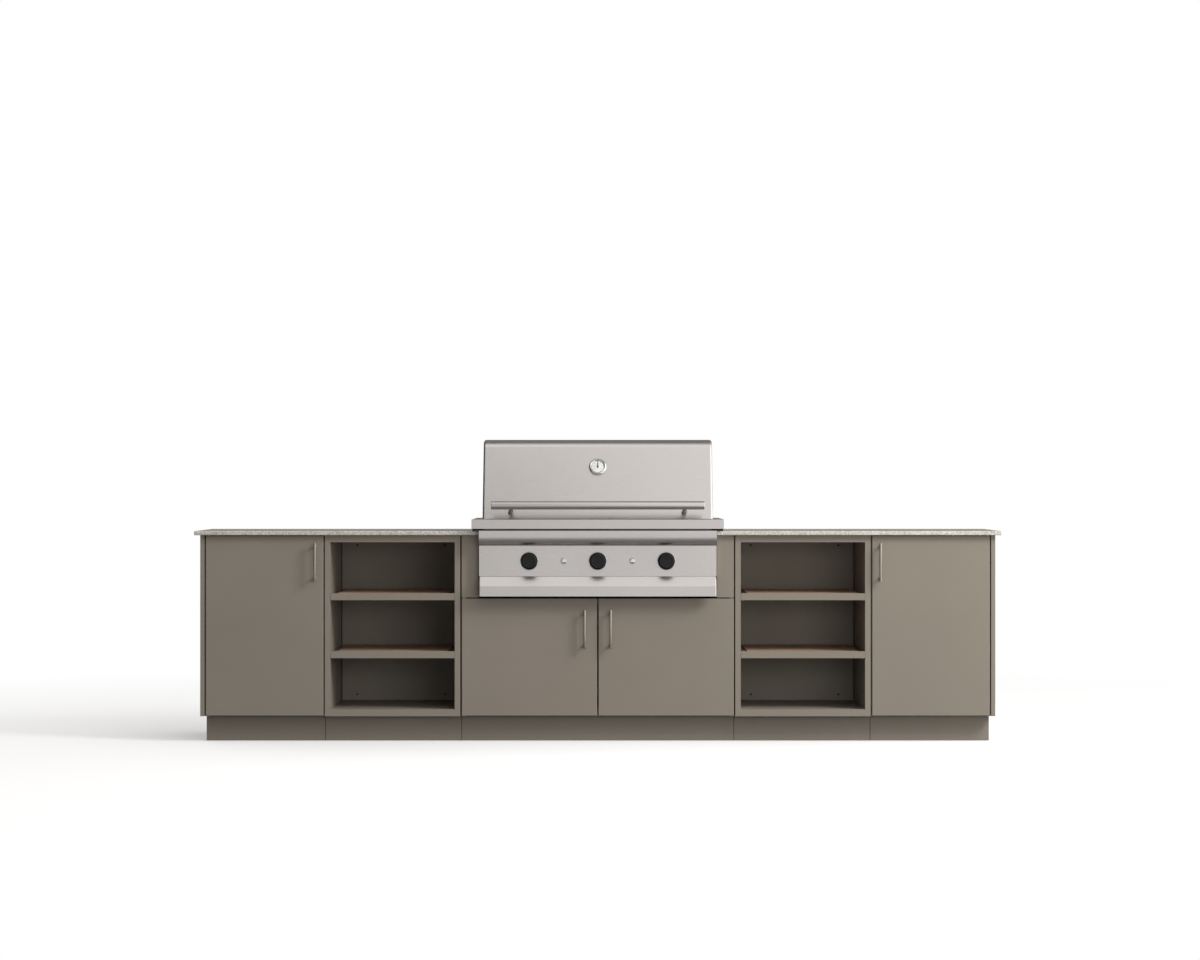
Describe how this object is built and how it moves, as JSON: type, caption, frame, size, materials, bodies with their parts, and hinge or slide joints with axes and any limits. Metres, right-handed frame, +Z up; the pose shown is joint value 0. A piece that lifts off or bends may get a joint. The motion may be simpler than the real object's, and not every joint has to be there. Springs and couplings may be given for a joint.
{
  "type": "outdoor kitchen island",
  "caption": "Straight outdoor kitchen island: powder-coated cabinets with doors and open shelves, a speckled stone counter and a built-in gas grill with a lift-up hood.",
  "frame": {"origin": "on the floor, under the middle of the overall box", "axes": "+X to the right of a cook facing the doors, +Y to the back, +Z up"},
  "size_m": [3.593, 0.7195, 1.348],
  "materials": {
    "powder_coat": "taupe powder coat, fine texture, satin",
    "granite": "polished, speckled light grey and beige",
    "deck_board": "oiled reddish brown board",
    "brushed_steel": "brushed along the length",
    "polished_steel": "polished",
    "plain_steel": "mill finish sheet",
    "cast_iron": "matt black",
    "brass": "plain machined",
    "black_plastic": "satin black"
  },
  "bodies": {
    "island": {"left_end_panel": "powder_coat", "right_end_panel": "powder_coat", "left_door_plinth": "powder_coat", "left_open_plinth": "powder_coat", "grill_base_plinth": "powder_coat", "right_open_plinth": "powder_coat", "right_door_plinth": "powder_coat", "left_door_cabinet": "powder_coat", "left_open_cabinet": "powder_coat", "grill_base_cabinet": "powder_coat", "right_open_cabinet": "powder_coat", "right_door_cabinet": "powder_coat", "left_door_hinge_rod": "brushed_steel", "right_door_hinge_rod": "brushed_steel", "grill_left_door_hinge_rod": "brushed_steel", "grill_right_door_hinge_rod": "brushed_steel", "left_lower_shelf": "powder_coat", "left_upper_shelf": "powder_coat", "right_lower_shelf": "powder_coat", "right_upper_shelf": "powder_coat", "left_lower_shelf_deck": "deck_board", "left_upper_shelf_deck": "deck_board", "right_lower_shelf_deck": "deck_board", "right_upper_shelf_deck": "deck_board", "left_countertop": "granite", "right_countertop": "granite", "grill_firebox": "plain_steel", "grill_surround": "brushed_steel", "control_panel": "brushed_steel", "gas_manifold": "brass", "heat_plate": "plain_steel", "warming_rack": "polished_steel", "left_burner": "plain_steel", "centre_burner": "plain_steel", "right_burner": "plain_steel", "left_cooking_grate": "cast_iron", "centre_cooking_grate": "cast_iron", "right_cooking_grate": "cast_iron", "hood_hinge_rod": "brushed_steel"},
    "left_leaf": {"left_door": "powder_coat", "left_door_handle": "brushed_steel"},
    "right_leaf": {"right_door": "powder_coat", "right_door_handle": "brushed_steel"},
    "grill_left_leaf": {"grill_left_door": "powder_coat", "grill_left_door_handle": "brushed_steel"},
    "grill_right_leaf": {"grill_right_door": "powder_coat", "grill_right_door_handle": "brushed_steel"},
    "lid": {"hood": "brushed_steel", "hood_handle": "brushed_steel", "thermometer_case": "polished_steel"},
    "needle": {"thermometer_needle": "black_plastic"},
    "tray": {"drip_tray": "brushed_steel"},
    "left_stem": {"left_valve_stem": "brass"},
    "centre_stem": {"centre_valve_stem": "brass"},
    "right_stem": {"right_valve_stem": "brass"},
    "left_dial": {"left_knob": "black_plastic"},
    "centre_dial": {"centre_knob": "black_plastic"},
    "right_dial": {"right_knob": "black_plastic"},
    "left_button": {"left_push_button": "polished_steel"},
    "right_button": {"right_push_button": "polished_steel"}
  },
  "joints": [
    {"name": "left_door_hinge", "type": "hinge", "parent": "island", "child": "left_leaf", "pos_m": [-1.738, -0.24069, 0.5], "axis": [0, 0, -1], "range_deg": [0, 105]},
    {"name": "right_door_hinge", "type": "hinge", "parent": "island", "child": "right_leaf", "pos_m": [1.738, -0.24069, 0.5], "axis": [0, 0, 1], "range_deg": [0, 105]},
    {"name": "grill_left_door_hinge", "type": "hinge", "parent": "island", "child": "grill_left_leaf", "pos_m": [-0.597, -0.24069, 0.4], "axis": [0, 0, -1], "range_deg": [0, 105]},
    {"name": "grill_right_door_hinge", "type": "hinge", "parent": "island", "child": "grill_right_leaf", "pos_m": [0.597, -0.24069, 0.4], "axis": [0, 0, 1], "range_deg": [0, 105]},
    {"name": "hood_hinge", "type": "hinge", "parent": "island", "child": "lid", "pos_m": [0, 0.24981, 1.014], "axis": [-1, 0, 0], "range_deg": [0, 85]},
    {"name": "thermometer_needle_turn", "type": "hinge", "parent": "lid", "child": "needle", "pos_m": [0, -0.1814, 1.22723], "axis": [0, -0.9083, 0.4183], "range_deg": [-120, 120]},
    {"name": "drip_tray_slide", "type": "slide", "parent": "island", "child": "tray", "axis": [0, -1, 0], "range_m": [0, 0.4]},
    {"name": "left_knob_push", "type": "slide", "parent": "island", "child": "left_stem", "axis": [0, 1, 0], "range_m": [0, 0.004], "stiffness_N_per_m": 600},
    {"name": "centre_knob_push", "type": "slide", "parent": "island", "child": "centre_stem", "axis": [0, 1, 0], "range_m": [0, 0.004], "stiffness_N_per_m": 600},
    {"name": "right_knob_push", "type": "slide", "parent": "island", "child": "right_stem", "axis": [0, 1, 0], "range_m": [0, 0.004], "stiffness_N_per_m": 600},
    {"name": "left_knob_turn", "type": "hinge", "parent": "left_stem", "child": "left_dial", "pos_m": [-0.305, -0.292, 0.807], "axis": [0, -1, 0], "range_deg": [0, 180]},
    {"name": "centre_knob_turn", "type": "hinge", "parent": "centre_stem", "child": "centre_dial", "pos_m": [0, -0.292, 0.807], "axis": [0, -1, 0], "range_deg": [0, 180]},
    {"name": "right_knob_turn", "type": "hinge", "parent": "right_stem", "child": "right_dial", "pos_m": [0.305, -0.292, 0.807], "axis": [0, -1, 0], "range_deg": [0, 180]},
    {"name": "left_button_push", "type": "slide", "parent": "island", "child": "left_button", "axis": [0, 1, 0], "range_m": [0, 0.003], "stiffness_N_per_m": 400},
    {"name": "right_button_push", "type": "slide", "parent": "island", "child": "right_button", "axis": [0, 1, 0], "range_m": [0, 0.003], "stiffness_N_per_m": 400}
  ]
}
